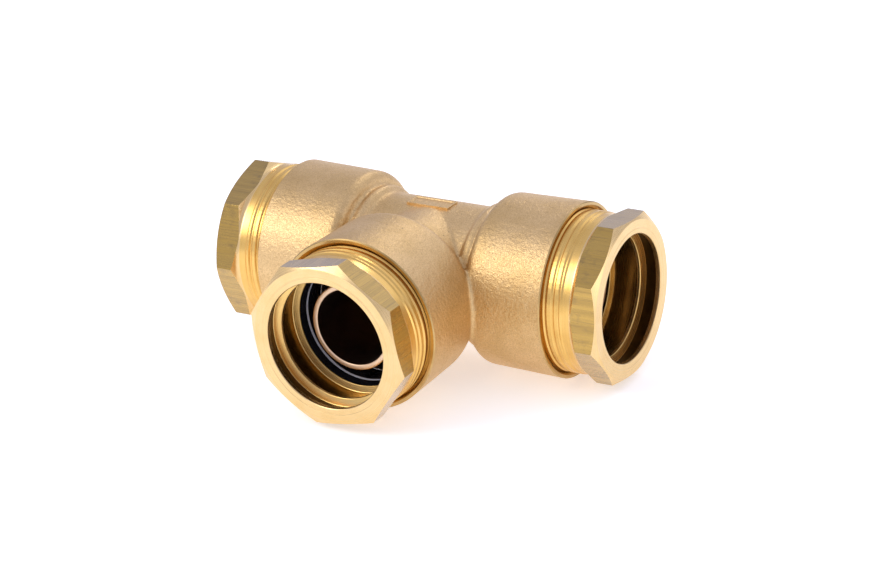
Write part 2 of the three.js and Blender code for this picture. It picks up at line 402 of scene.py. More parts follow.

# %% [markdown]
# ### Cast gunmetal
# The skin of the body. Sand leaves soft lumps about a millimetre across, and bead blasting leaves a
# fine even grain over them, so the metal is matt. Two noises of different size make the relief, a
# third lets the colour drift between a fresh and a slightly oxidised tan, and a few dark specks are
# sand inclusions and pin holes. The hollows of the grain are darkened as painted shade.

# %% Finish: cast gunmetal
def cast_gunmetal():
    """Matt tan metal with two sizes of relief, darker hollows and a few specks."""
    material, tree, shader = new_finish("cast_gunmetal", (0.67, 0.46, 0.23), 0.45)
    point = from_centre(tree)
    grain = noise(tree, point, 3300, 2)
    lumps = noise(tree, point, 1000, 3)
    drift = noise(tree, point, 80, 4)
    specks = spread(tree, noise(tree, point, 1300, 1), 0.75, 0.82, 0, 0.7)
    skin = blend_colors(
        tree, spread(tree, drift, 0.38, 0.62, 0, 1), (0.80, 0.555, 0.27), (0.70, 0.47, 0.205)
    )
    # Painted shade: the hollows of the grain are darkened.
    hollows = spread(tree, grain, 0.32, 0.62, 0.42, 0)
    shaded = blend_colors(tree, hollows, skin, (0.40, 0.25, 0.10))
    tree.links.new(blend_colors(tree, specks, shaded, (0.16, 0.10, 0.05)), shader.inputs["Base Color"])
    tree.links.new(spread(tree, grain, 0.3, 0.7, 0.52, 0.36), shader.inputs["Roughness"])
    coarse = bump(tree, lumps, 0.00022, 0.8)
    tree.links.new(bump(tree, grain, 0.00009, 0.9, coarse), shader.inputs["Normal"])
    return material


finishes = {"cast": cast_gunmetal()}
print("made", finishes["cast"].name)

# %% [markdown]
# ### Turned metal
# The tool leaves a spiral so fine that it reads as rings. The rings come from noise on two numbers
# only, the radius and the distance along the arm, so they follow flat faces, cones and bores alike.
# Every arm direction needs its own tree, because a ring round X isn't a ring round Y. One function
# makes all the turned metals, and a table gives each its bright colour, dull colour and roughness.

# %% Finish: turned metal
def along_and_radius(tree, vector, out):
    """A vector of (distance along the arm, radius, 0) for any point of a piece."""
    parts = node(tree, "ShaderNodeSeparateXYZ", {"Vector": vector})
    lengthwise, sideways = ("X", "Y") if arm_direction(out) == "run" else ("Y", "X")
    squares = [
        node(tree, "ShaderNodeMath", {0: parts.outputs[axis], 1: 2.0}, operation="POWER").outputs[0]
        for axis in (sideways, "Z")
    ]
    total = node(tree, "ShaderNodeMath", {0: squares[0], 1: squares[1]}, operation="ADD").outputs[0]
    radius = node(tree, "ShaderNodeMath", {0: total}, operation="SQRT").outputs[0]
    inputs = {"X": parts.outputs[lengthwise], "Y": radius}
    return node(tree, "ShaderNodeCombineXYZ", inputs).outputs[0]


def turned_metal(name, out, color, dull, roughness):
    """Metal with fine rings round one arm direction, dulled here and there."""
    material, tree, shader = new_finish(name + "_" + arm_direction(out), color, roughness)
    point = from_centre(tree)
    rings = along_and_radius(tree, point, out)
    fine = noise(tree, rings, 9000, 2)
    feed = noise(tree, rings, 2200, 2)
    cloud = noise(tree, point, 220, 3)
    worn = blend_colors(tree, spread(tree, cloud, 0.4, 0.7, 0, 0.6), color, dull)
    ringed = blend_colors(tree, spread(tree, feed, 0.35, 0.75, 0, 0.35), worn, dull)
    tree.links.new(ringed, shader.inputs["Base Color"])
    rough = spread(tree, fine, 0.3, 0.7, roughness - 0.05, roughness + 0.07)
    tree.links.new(rough, shader.inputs["Roughness"])
    coarse = bump(tree, feed, 0.00001, 0.5)
    tree.links.new(bump(tree, fine, 0.000004, 0.6, coarse), shader.inputs["Normal"])
    finishes[material.name] = material


TURNED_METALS = {
    "turned_brass": ((0.86, 0.61, 0.29), (0.77, 0.52, 0.21), 0.28),
    "bored_gunmetal": ((0.62, 0.42, 0.17), (0.42, 0.27, 0.10), 0.27),
    "copper": ((0.95, 0.70, 0.47), (0.84, 0.58, 0.36), 0.38),
    "steel": ((0.66, 0.66, 0.67), (0.50, 0.50, 0.51), 0.25),
    "golden_thread": ((0.86, 0.55, 0.17), (0.74, 0.44, 0.11), 0.29),
    # painted highlight: a brighter gold copy of the brass stands for the light the lands catch
    "polished_land": ((0.92, 0.62, 0.22), (0.82, 0.52, 0.16), 0.28),
    # painted shade: dark brown copies of the brass stand for the shade on the groove floors
    "oiled_groove": ((0.46, 0.27, 0.07), (0.28, 0.155, 0.04), 0.24),
    "dark_groove": ((0.12, 0.065, 0.018), (0.06, 0.034, 0.01), 0.32),
    "brown_bore": ((0.16, 0.10, 0.075), (0.11, 0.07, 0.05), 0.4),
}


for metal, (color, dull, roughness) in TURNED_METALS.items():
    for out in (arms["right"], arms["branch"]):
        turned_metal(metal, out, color, dull, roughness)
print("made", len(finishes), "finishes")

# %% [markdown]
# ### Drawn bar
# The nuts are cut from octagonal bar. Their eight flats are never machined: they keep the olive
# brown skin of the drawn bar, with fine scratches along it and some stains from handling. The
# scratches come from noise that is stretched fifty times along the arm. A clear coat stands for the
# thin film of drawing oil: it makes the flats pale where they are seen at a low angle.

# %% Finish: drawn bar
def drawn_bar(out):
    """Olive brown metal with scratches and bands along one arm direction."""
    material, tree, shader = new_finish("drawn_bar_" + arm_direction(out), (0.58, 0.36, 0.06), 0.26)
    point = from_centre(tree)
    stretch = (0.02, 1, 1) if arm_direction(out) == "run" else (1, 0.02, 1)
    lengthwise = node(tree, "ShaderNodeMapping", {"Vector": point, "Scale": stretch}).outputs["Vector"]
    scratches = noise(tree, lengthwise, 5200, 3)
    bands = noise(tree, lengthwise, 700, 2)
    stains = noise(tree, point, 330, 4, 0.6)
    skin = blend_colors(
        tree, spread(tree, bands, 0.35, 0.65, 0, 1), (0.54, 0.325, 0.045), (0.42, 0.25, 0.03)
    )
    scratched = blend_colors(tree, spread(tree, scratches, 0.5, 0.68, 0, 0.5), skin, (0.24, 0.14, 0.025))
    stained = blend_colors(
        tree, spread(tree, stains, 0.55, 0.75, 0, 0.55), scratched, (0.22, 0.13, 0.03)
    )
    tree.links.new(stained, shader.inputs["Base Color"])
    tree.links.new(spread(tree, bands, 0.3, 0.7, 0.2, 0.34), shader.inputs["Roughness"])
    coarse = bump(tree, bands, 0.000004, 0.4)
    tree.links.new(bump(tree, scratches, 0.0000015, 0.4, coarse), shader.inputs["Normal"])
    shader.inputs["Coat Weight"].default_value = 1.0
    shader.inputs["Coat Roughness"].default_value = 0.2
    shader.inputs["Coat IOR"].default_value = 1.65
    return material


finishes["drawn_bar_run"] = drawn_bar(arms["right"])
finishes["drawn_bar_branch"] = drawn_bar(arms["branch"])
print("made", len(finishes), "finishes")

# %% [markdown]
# ### Black plastic, rubber and nylon
# The grip ring is moulded acetal, nearly black and a little glossy, with a pale painted highlight on
# its first tooth. The O-rings are black rubber with a film of grease. The spacer is natural nylon. They
# differ only in numbers, so one function makes them all, with the faint unevenness of a mould.

# %% Finishes: acetal, rubber, nylon
def moulded(name, color, second, roughness, grain_scale, depth):
    """A plastic or rubber whose colour drifts between two tints, with a fine grain."""
    material, tree, shader = new_finish(name, color, roughness, metallic=0.0)
    point = from_centre(tree)
    grain = noise(tree, point, grain_scale, 3)
    flow = noise(tree, point, 150, 2)
    tint = blend_colors(tree, spread(tree, flow, 0.35, 0.65, 0, 1), color, second)
    tree.links.new(tint, shader.inputs["Base Color"])
    rough = spread(tree, grain, 0.3, 0.7, roughness - 0.06, roughness + 0.08)
    tree.links.new(rough, shader.inputs["Roughness"])
    tree.links.new(bump(tree, grain, depth, 0.5), shader.inputs["Normal"])
    return material


PLASTICS = {
    "acetal": ((0.006, 0.006, 0.008), (0.010, 0.010, 0.013), 0.30, 3000, 0.000006),
    # painted highlight: the near-white colour on the first tooth's tip stands for its thin bright highlight
    "painted_highlight_acetal": ((0.85, 0.87, 0.92), (0.78, 0.80, 0.86), 0.25, 3000, 0.000001),
    "rubber": ((0.008, 0.010, 0.016), (0.013, 0.015, 0.022), 0.42, 2500, 0.000012),
    "nylon": ((0.62, 0.60, 0.54), (0.55, 0.53, 0.47), 0.45, 2600, 0.00001),
}
for plastic, look in PLASTICS.items():
    finishes[plastic] = moulded(plastic, *look)
print("made", len(finishes), "finishes")

# %% [markdown]
# ## The screw thread
# A thread is one notch carried round a helix. The outline of a single pitch is drawn once and the
# Screw modifier sweeps it, moving one pitch along for each turn. Its two open ends are pulled to
# the axis, which makes a solid threaded bar. The nut's thread is this bar kept inside the nut's
# blank, and the body's thread is a slightly larger bar cut out of the body, so the two really fit.
# Painting rings with a bump map would be quicker, but a thread seen at its edge must stand out.

# %% Helper: a threaded bar
PITCH = 2.0
CREST_WIDTH = 0.9
ROOT_WIDTH = 0.3
THREAD_STEPS = 96


def threaded_bar(name, start, end, crest, root, finish):
    """A solid bar along X with a right-hand thread from before its start to past its end."""
    flank = (PITCH - CREST_WIDTH - ROOT_WIDTH) / 2
    first_turn = math.floor(start / PITCH) - 1
    turns = math.ceil(end / PITCH) + 1 - first_turn
    zero = first_turn * PITCH
    notch = [
        (zero, root),
        (zero + ROOT_WIDTH, root),
        (zero + ROOT_WIDTH + flank, crest),
        (zero + PITCH - flank, crest),
        (zero + PITCH, root),
    ]
    bar = draw(name, notch)
    apply(
        bar, "SCREW", axis="X", screw_offset=PITCH * MM, iterations=turns,
        steps=THREAD_STEPS, render_steps=THREAD_STEPS, use_merge_vertices=False,
    )
    edit(bar)
    bpy.ops.mesh.remove_doubles(threshold=MERGE_DISTANCE)
    middle = (zero + turns * PITCH / 2) * MM
    for low_end in (True, False):
        bpy.ops.mesh.select_all(action="DESELECT")
        bpy.ops.mesh.select_non_manifold()
        done()
        for vertex in bar.data.vertices:
            if vertex.select and (vertex.co.x < middle) != low_end:
                vertex.select = False
        bpy.ops.object.mode_set(mode="EDIT")
        bpy.ops.mesh.select_mode(type="VERT")
        bpy.ops.mesh.extrude_region_move(TRANSFORM_OT_translate={"value": (0, 0, 0)})
        bpy.ops.mesh.merge(type="CENTER")
    done()
    close_up(bar)
    return wear(bar, finish)


print("the thread has a pitch of", PITCH, "mm")

# %% [markdown]
# ## The nut
# On the machine a nut starts as octagonal bar. It is turned down to a neck for the thread, both
# ends of the octagon are chamfered at about 30 degrees, which leaves the curved ends of the flats,
# and the inside is bored with its lip, grooves, lands and the cone for the grip ring. The lesson
# follows that order: spin the blank with its bore, keep what lies inside an octagonal bar, break
# the edges, then cut the thread. The flats keep the bar's finish, and the cuts are bright.

# %% Sizes of the nut, in millimetres along the arm and of radius
NUT_BACK = nut_back / MM
NUT_FRONT = nut_front / MM - 0.005
THREAD_CREST = 20.98
THREAD_ROOT = 20.64
THREAD_END = 46.7
NECK_RADIUS = 20.7
NECK_FILLET = 1.3
OCTAGON_START = 48.5
REAR_CORNER = 50.85
CORNER_RADIUS = 22.5
BLANK_RADIUS = 22.9
FACE_RADIUS = 20.37
FRONT_SLOPE = 0.563
REAR_SLOPE = 0.577
NUT_EDGE = 0.09
FACE_STEP = (18.35, 18.0)
FACE_STEP_DEPTH = 0.06
LIP_RADIUS = 16.7
LIP_EDGE = 0.4
LIP_BACK = NUT_FRONT - 1.5
LAND = (NUT_FRONT - 4.9, 16.2)
LAND_LENGTH = 1.5
INNER_RING = (42.6, 16.5)
GROOVE_RADIUS = 18.2
CONE_NARROW = (41.6, 17.3)
CONE_WIDE_RADIUS = 18.9
print("nut: head from %.1f to %.1f mm, corners at %.1f mm" % (OCTAGON_START, NUT_FRONT, CORNER_RADIUS))

# %% [markdown]
# The blank is one outline that is spun. It starts at the cone for the grip ring, runs along the
# outside over the neck and the two chamfers, down the face and back through the bore. The fronts of
# the two lands slope a little, so they catch light from the mouth, and they get a brighter gold as a
# painted highlight. The floors of the grooves between them are painted dark brown as shade. A second
# finish is given by the place of a face.

# %% Spin the blank
def on_groove_floor(along, radius):
    """The floor of any groove behind the lip."""
    return along < LIP_BACK and abs(radius - GROOVE_RADIUS) < 0.1


def on_front_groove(along, radius):
    """The groove between the lip and the first land."""
    return along > LAND[0] and on_groove_floor(along, radius)


def on_inner_groove(along, radius):
    """The groove between the two lands."""
    return INNER_RING[0] < along < LAND[0] - LAND_LENGTH and on_groove_floor(along, radius)


def on_land(along, radius):
    """The sloped front and the bore of either land."""
    below_groove = radius < GROOVE_RADIUS - 0.05
    return below_groove and any(front - 1.2 < along < front for front, _ in (LAND, INNER_RING))


def on_neck(along, radius):
    """The turned neck that gets the thread."""
    return along < OCTAGON_START and radius > 20


def nut_outside():
    """From the cone's rim along the outside to the inner edge of the face."""
    front_edge = NUT_FRONT - FRONT_SLOPE * (BLANK_RADIUS - FACE_RADIUS)
    rear_edge = REAR_CORNER + REAR_SLOPE * (BLANK_RADIUS - CORNER_RADIUS)
    rear_foot = REAR_CORNER - REAR_SLOPE * (CORNER_RADIUS - NECK_RADIUS)
    fillet_start = rear_foot - REAR_SLOPE * NECK_FILLET
    step_floor = NUT_FRONT - FACE_STEP_DEPTH
    return [
        (NUT_BACK, CONE_WIDE_RADIUS),
        (NUT_BACK, THREAD_ROOT - 0.4),
        (NUT_BACK + 1.1, THREAD_CREST),
        (THREAD_END, THREAD_CREST),
        (THREAD_END + 0.4, NECK_RADIUS),
        *arc(fillet_start, NECK_RADIUS + NECK_FILLET, NECK_FILLET, -90, -30, 5),
        (rear_edge, BLANK_RADIUS),
        (front_edge, BLANK_RADIUS),
        (NUT_FRONT, FACE_RADIUS),
        (NUT_FRONT, FACE_STEP[0]),
        (step_floor, FACE_STEP[0] - 0.1),
        (step_floor, FACE_STEP[1] + 0.1),
        (NUT_FRONT, FACE_STEP[1]),
        (NUT_FRONT, LIP_RADIUS + LIP_EDGE),
    ]


def nut_bore():
    """From the lip past both grooves and both lands to the cone."""
    land_front, land_radius = LAND
    ring_front, ring_radius = INNER_RING
    return [
        *arc(NUT_FRONT - LIP_EDGE, LIP_RADIUS + LIP_EDGE, LIP_EDGE, 0, -90, 3)[1:],
        (LIP_BACK + 0.2, LIP_RADIUS),
        (LIP_BACK, LIP_RADIUS + 0.3),
        (LIP_BACK - 0.1, GROOVE_RADIUS),
        (land_front, GROOVE_RADIUS),
        (land_front - 0.1, GROOVE_RADIUS - 0.2),
        (land_front - 0.7, land_radius + 0.25),
        *arc(land_front - 0.93, land_radius + 0.25, 0.25, -20, -90, 4),
        (land_front - LAND_LENGTH, land_radius),
        (land_front - LAND_LENGTH - 0.2, land_radius + 0.2),
        (land_front - LAND_LENGTH - 0.9, GROOVE_RADIUS),
        (ring_front + 1.5, GROOVE_RADIUS),
        (ring_front, GROOVE_RADIUS),
        (ring_front - 0.1, GROOVE_RADIUS - 0.2),
        (ring_front - 0.55, ring_radius + 0.2),
        *arc(ring_front - 0.74, ring_radius + 0.2, 0.2, -20, -90, 4),
        (CONE_NARROW[0], ring_radius),
        CONE_NARROW,
        (NUT_BACK, CONE_WIDE_RADIUS),
    ]


def nut_blank():
    """The spun blank with the finish of its neck, painted shade in its grooves and a painted highlight on
    its lands.
    """
    blank = turned("nut_blank", nut_outside() + nut_bore(), "turned_brass_run")
    wear_where(blank, "golden_thread_run", on_neck)
    # The groove floors are painted dark as shade, and the lands a brighter gold as a painted highlight.
    wear_where(blank, "oiled_groove_run", on_inner_groove)
    wear_where(blank, "dark_groove_run", on_front_groove)
    wear_where(blank, "polished_land_run", on_land)
    return blank


blank = nut_blank()
print("blank:", len(blank.data.polygons), "faces")

# %% [markdown]
# The octagon is a cylinder with eight sides, joined to a round bar wide enough for the neck. What
# the blank and this bar have in common is the nut. Where the flats cut the two cones of the blank,
# the curved ends of the flats appear by themselves, as they do under a real chamfer tool. A narrow
# bevel then breaks all sharp edges, since a perfectly sharp one never catches the light.

# %% Keep what lies inside the octagonal bar, and break its edges
ROUND_SIDES = 96


def bar_of_sides(name, sides, start, end, radius, finish):
    """A straight bar along X with its first corner on the +Y side of the axis."""
    bpy.ops.object.select_all(action="DESELECT")
    bpy.ops.mesh.primitive_cylinder_add(
        vertices=sides, radius=radius * MM, depth=(end - start) * MM,
        location=((start + end) / 2 * MM, 0, 0), rotation=(0, math.pi / 2, 0),
    )
    bar = bpy.context.object
    bar.name = name
    bpy.ops.object.transform_apply(location=True, rotation=True, scale=True)
    return wear(bar, finish)


def stock():
    """The octagonal bar with room for the neck behind it."""
    octagon = bar_of_sides("octagon", 8, OCTAGON_START, NUT_FRONT + 2, CORNER_RADIUS, "drawn_bar_run")
    neck_end = OCTAGON_START + 0.2
    neck = bar_of_sides("neck", ROUND_SIDES, NUT_BACK - 2, neck_end, THREAD_CREST + 1, "turned_brass_run")
    combine(octagon, neck, "UNION")
    return octagon


combine(blank, stock(), "INTERSECT")
break_edges(blank, NUT_EDGE)
print("milled:", len(blank.data.polygons), "faces")

# %% [markdown]
# The thread is cut last, as on the lathe. The threaded bar is trimmed where the thread ends and
# joined to a wide bar in front, so that only the neck is cut and the head is spared.

# %% Cut the thread
def thread_envelope():
    """A solid that is threaded over the neck and plain, and wider than the nut, over the head."""
    finish = "golden_thread_run"
    thread = threaded_bar("thread", NUT_BACK - 2, THREAD_END, THREAD_CREST, THREAD_ROOT, finish)
    clip = bar_of_sides("clip", ROUND_SIDES, NUT_BACK - 1, THREAD_END, BLANK_RADIUS + 1.1, finish)
    combine(thread, clip, "INTERSECT")
    head = bar_of_sides("head", ROUND_SIDES, THREAD_END - 0.1, NUT_FRONT + 2, BLANK_RADIUS + 3.1, finish)
    combine(thread, head, "UNION")
    return thread


combine(blank, thread_envelope(), "INTERSECT")
smooth(blank)
print("threaded:", len(blank.data.polygons), "faces")

# %% [markdown]
# One nut is finished, so three copies go to the arms, each turned to the angle found at the start.
# Each copy stands for the CAD nut of its arm and rides on its body.

# %% Carry the nuts to their arms
for name, out in arms.items():
    nut = carry(blank, name + "_bright_nut", out, nut_turns[name])
    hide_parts(name + "_nut")
    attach(nut, name + "_nut")
clear_bench(blank)
print("three nuts in place")

# %% [markdown]
# ## The body
# A foundry pours this piece in a sand mould, and then the three sockets are machined. The lesson
# does the same. First the raw casting: each arm is spun as one outline with its barrel, the low
# collar, the rounded shoulder and the bell, a little too long. The three arms overlap, and a voxel
# remesh fuses them under one even skin. Smoothing that skin gives the soft fillets of a casting,
# also where two bells nearly touch, which no edge bevel could follow.

# %% Sizes of the body, in millimetres along the arm and of radius
MOUTH = mouth_at / MM
BELL_RADIUS = bell_radius / MM - 0.06
SHOULDER_RADIUS = BELL_RADIUS - 0.4
SHOULDER_START = 19.2
SHOULDER_SIZE = 2.8
COLLAR_START = 15.4
COLLAR_END = 17.6
COLLAR_RADIUS = 19.15
BARREL_RADIUS = 17.65
OVERLAP = 1
SKIN_STEP = 0.51
SKIN_PASSES = 4
CUT_ALLOWANCE = 3
print("body: bells of %.2f mm radius, barrels of %.2f mm" % (BELL_RADIUS, BARREL_RADIUS))

# %% [markdown]
# A raw arm starts one millimetre behind the centre, so that the three overlap. The voxels are half
# a millimetre wide, which is fine enough for the low collar, and a few passes of smoothing then
# round every corner a little, as sand does.

# %% Cast the raw body
def raw_arm():
    """A barrel, a low collar with a crease before the round shoulder, and a bell."""
    shoulder_centre = (SHOULDER_START + SHOULDER_SIZE, SHOULDER_RADIUS - SHOULDER_SIZE)
    outline = [
        (-OVERLAP, 0),
        (-OVERLAP, BARREL_RADIUS),
        (COLLAR_START, BARREL_RADIUS),
        (COLLAR_START + 0.5, COLLAR_RADIUS - 0.2),
        (COLLAR_END - 1, COLLAR_RADIUS + 0.15),
        (COLLAR_END, COLLAR_RADIUS + 0.15),
        (SHOULDER_START - 0.8, COLLAR_RADIUS - 0.3),
        (SHOULDER_START, COLLAR_RADIUS - 0.3),
        *arc(shoulder_centre[0], shoulder_centre[1], SHOULDER_SIZE, 180, 90, 8),
        (MOUTH, BELL_RADIUS),
        (MOUTH + CUT_ALLOWANCE, BELL_RADIUS),
        (MOUTH + CUT_ALLOWANCE, 0),
    ]
    return turned("raw_arm", outline, "cast")


def pour():
    """Join three raw arms and give them one skin."""
    arm = raw_arm()
    copies = [carry(arm, name + "_raw_arm", out) for name, out in arms.items()]
    clear_bench(arm)
    bpy.ops.object.select_all(action="DESELECT")
    for copy in copies:
        copy.select_set(True)
    bpy.context.view_layer.objects.active = copies[0]
    bpy.ops.object.join()
    casting = bpy.context.object
    casting.name = "cast_body"
    apply(casting, "REMESH", mode="VOXEL", voxel_size=SKIN_STEP * MM)
    apply(casting, "SMOOTH", factor=0.5, iterations=SKIN_PASSES)
    return casting


casting = pour()
print("casting:", len(casting.data.polygons), "faces")

# %% [markdown]
# Real sand moulds are never quite true, so the skin also gets waves a few hundredths of a
# millimetre high. On top of the barrel there is a raised casting pad, a plain frame. It is crisper
# than the skin can be, so it is a box with an inset face pushed down, bevelled and joined on.

# %% Unevenness and the pad
WAVE_HEIGHT = 0.07
WAVE_LENGTH = 6


def uneven(piece):
    """Push the skin in and out by soft clouds."""
    waves = bpy.data.textures.new("waves", "CLOUDS")
    waves.noise_scale = WAVE_LENGTH * MM
    waves.noise_depth = 2
    strength = WAVE_HEIGHT * MM
    apply(piece, "DISPLACE", texture=waves, texture_coords="LOCAL", strength=strength, mid_level=0.5)


PAD_SIZE = (12.4, 5.2, 3.0)
PAD_TOP = 18.05
PAD_OFFSET = -0.9
PAD_RIM = 0.6
PAD_RECESS = 0.32
PAD_WALL_LEAN = 0.15
PAD_EDGE = 0.12


def casting_pad():
    """A low block on top of the barrel, with a rim round a shallow recess."""
    bpy.ops.object.select_all(action="DESELECT")
    bpy.ops.mesh.primitive_cube_add(
        size=1, scale=[side * MM for side in PAD_SIZE],
        location=centre + Vector((PAD_OFFSET, 0, PAD_TOP - PAD_SIZE[2] / 2)) * MM,
    )
    pad = bpy.context.object
    bpy.ops.object.transform_apply(location=True, rotation=True, scale=True)
    edit(pad, "DESELECT")
    bpy.ops.mesh.select_mode(type="FACE")
    done()
    for face in pad.data.polygons:
        face.select = face.normal.z > 0.5
    bpy.ops.object.mode_set(mode="EDIT")
    bpy.ops.mesh.inset(thickness=PAD_RIM * MM, depth=0)
    bpy.ops.mesh.inset(thickness=PAD_WALL_LEAN * MM, depth=-PAD_RECESS * MM)
    done()
    break_edges(pad, PAD_EDGE)
    return wear(pad, "cast")


uneven(casting)
combine(casting, casting_pad(), "UNION")
print("with its pad:", len(casting.data.polygons), "faces")

# %% [markdown]
# The waterways are cored in the mould, so they keep the cast skin. The branch's core is a hair
# slimmer than the run's, because two equal cylinders touch along a line where a boolean has no
# clear answer.

# %% Core the waterways
WATERWAY_RADIUS = 10.1
BRANCH_CORE_RADIUS = WATERWAY_RADIUS - 0.05
CORE_END = 16


def core(name, out, start, end, radius):
    """A round bar along an arm, in cast finish."""
    bar = bar_of_sides(name, ROUND_SIDES, start, end, radius, "cast")
    carried = carry(bar, name + "_core", out)
    clear_bench(bar)
    return carried


combine(casting, core("run", arms["right"], -CORE_END, CORE_END, WATERWAY_RADIUS), "DIFFERENCE")
combine(casting, core("branch", arms["branch"], 1, CORE_END, BRANCH_CORE_RADIUS), "DIFFERENCE")
print("cored:", len(casting.data.polygons), "faces")

# %% [markdown]
# Machining then removes one solid from each arm: the path of all the tools together. Its outline
# runs from the liner's seat over the stop for the pipe and the seal chamber to the thread, the wide
# bevel at the mouth and the faced end with its broken outer edge. The threaded bar is added to it.
# The faces that the cut leaves take the bored finish of the solid that made them, so the bright
# metal ends exactly where the tool stopped.

# %% Machine the three sockets
THREAD_GAP = 0.14
CUT_CREST = THREAD_CREST + THREAD_GAP
CUT_ROOT = THREAD_ROOT + THREAD_GAP
MOUTH_BEVEL_RADIUS = 22.0
LINER_SEAT = (14.5, 11.76)
PIPE_STOP = (20.0, 16.4)
CHAMBER = (22.0, 19.2)
CHAMBER_END = 31.5


def tool_path():
    """Everything the tools remove from one arm, as one solid on the bench."""
    seat_at, seat_radius = LINER_SEAT
    stop_at, pipe_radius = PIPE_STOP
    chamber_at, chamber_radius = CHAMBER
    bevel = MOUTH_BEVEL_RADIUS - CUT_ROOT
    finish = "bored_gunmetal_run"
    outline = [
        (seat_at, 0),
        (seat_at, seat_radius),
        (stop_at - 0.2, seat_radius),
        (stop_at, seat_radius + 0.24),
        (stop_at, pipe_radius),
        (chamber_at - 0.2, pipe_radius),
        (chamber_at, pipe_radius + 0.2),
        (chamber_at, chamber_radius - 0.2),
        (chamber_at + 0.2, chamber_radius),
        (CHAMBER_END - 0.2, chamber_radius),
        (CHAMBER_END + 0.2, chamber_radius + 0.4),
        (CHAMBER_END + 0.2, CUT_ROOT),
        (MOUTH - bevel, CUT_ROOT),
        (MOUTH, MOUTH_BEVEL_RADIUS),
        (MOUTH, BELL_RADIUS - 0.3),
        (MOUTH - 0.7, BELL_RADIUS + 0.4),
        (MOUTH + CUT_ALLOWANCE + 2, BELL_RADIUS + 0.4),
        (MOUTH + CUT_ALLOWANCE + 2, 0),
    ]
    path = turned("tool_path", outline, finish)
    tap = threaded_bar("tap", CHAMBER_END - 1.5, MOUTH + 2, CUT_CREST, CUT_ROOT - 0.05, finish)
    clip = bar_of_sides("clip", ROUND_SIDES, CHAMBER_END + 1.1, MOUTH + 1, BLANK_RADIUS + 1.1, finish)
    combine(tap, clip, "INTERSECT")
    combine(path, tap, "UNION")
    return path


path = tool_path()
for name, out in arms.items():
    combine(casting, carry(path, name + "_tool_path", out, nut_turns[name]), "DIFFERENCE")
clear_bench(path)
smooth(casting, 35)
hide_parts("tee_body")
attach(casting, "tee")
print("body:", len(casting.data.polygons), "faces")

# %% [markdown]
# ## The liner tubes
# A copper alloy tube that the plastic pipe slides over. Both ends are rolled round, so that they
# don't scrape the pipe, and the rounding is what catches the light inside a socket. The bore is
# left as drawn, brown and dull. The outline of a tube with rounded ends is a helper, because the
# spacer ring needs it too.

# %% Liners
LINER_RADIUS = 11.46
LINER_BORE = 10.05
ROLLED_EDGE = 0.3


def rolled_ends(start, end, radius, bore, size, steps=4):
    """The closed outline of a tube with rounded ends."""
    return [
        *arc(start + size, radius - size, size, 180, 90, steps),
        *arc(end - size, radius - size, size, 90, 0, steps),
        *arc(end - size, bore + size, size, 0, -90, steps),
        *arc(start + size, bore + size, size, -90, -180, steps),
        (start, radius - size),
    ]


def fit(piece, node_suffix, body_suffix, looks):
    """Carry a bench piece to all three sockets, where it stands for the CAD nodes."""
    for name, out in arms.items():
        copy = carry(piece, name + "_" + looks, out)
        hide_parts(name + node_suffix)
        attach(copy, name + body_suffix if body_suffix else "tee")
    clear_bench(piece)


liner_start, liner_end, _ = (value / MM for value in reach("right_liner"))
liner_outline = rolled_ends(liner_start, liner_end, LINER_RADIUS, LINER_BORE, ROLLED_EDGE)
liner = turned("liner", liner_outline, "copper_run")
wear_where(liner, "brown_bore_run", lambda along, radius: radius < LINER_BORE + 0.02)
smooth(liner, 40)
fit(liner, "_liner", "", "copper_tube")
print("liners from %.1f to %.1f mm" % (liner_start, liner_end))

# %% [markdown]
# ## The grip rings
# Black acetal, a cone outside and three rows of saw teeth inside that let the pipe in and not out.
# The ring is split through on top so that it can spread, and five slits from the back make it
# springy. Moulded teeth have rounded tips, and the first tip is painted near-white as a thin highlight.

# %% Grip rings
TOOTH_CREST = 15.9
TOOTH_ROOT = 16.4
TEETH_AT = (38.9, 36.8, 34.7)
SPLIT_WIDTH = 2.4
SLIT_WIDTH = 1.2
SLIT_END = 37.6
SLITS = 5
TIP_SIZE = 0.5
SLOT_REACH = (10, 22)


def seat_radius(along):
    """Radius of the nut's cone, less a gap."""
    fraction = (CONE_NARROW[0] - along) / (CONE_NARROW[0] - NUT_BACK)
    return CONE_NARROW[1] + fraction * (CONE_WIDE_RADIUS - CONE_NARROW[1]) - 0.3


def saw_slot(width, start, end, angle):
    """A box that reaches from inside the ring to outside it, turned round the axis."""
    low, high = SLOT_REACH
    middle = Vector(((start + end) / 2, 0, (low + high) / 2)) * MM
    bpy.ops.object.select_all(action="DESELECT")
    bpy.ops.mesh.primitive_cube_add(
        size=1, scale=((end - start) * MM, width * MM, (high - low) * MM), location=middle,
    )
    box = bpy.context.object
    bpy.ops.object.transform_apply(location=True, rotation=True, scale=True)
    box.matrix_world = Matrix.Rotation(math.radians(angle), 4, "X")
    bpy.ops.object.transform_apply(location=True, rotation=True, scale=True)
    return wear(box, "acetal")


def tooth_outline(tooth):
    """A long slope in front, a rounded tip and a steep back."""
    return [
        (tooth + 0.55, TOOTH_CREST + 0.14),
        *arc(tooth, TOOTH_CREST + TIP_SIZE, TIP_SIZE, -60, -150, 6),
        (tooth - 0.5, TOOTH_ROOT - 0.05),
        (tooth - 0.58, TOOTH_ROOT),
    ]


def on_first_tip(along, radius):
    """The tip of the tooth nearest the mouth, which gets the painted highlight."""
    return abs(along - TEETH_AT[0]) < 0.45 and radius < TOOTH_CREST + 0.25


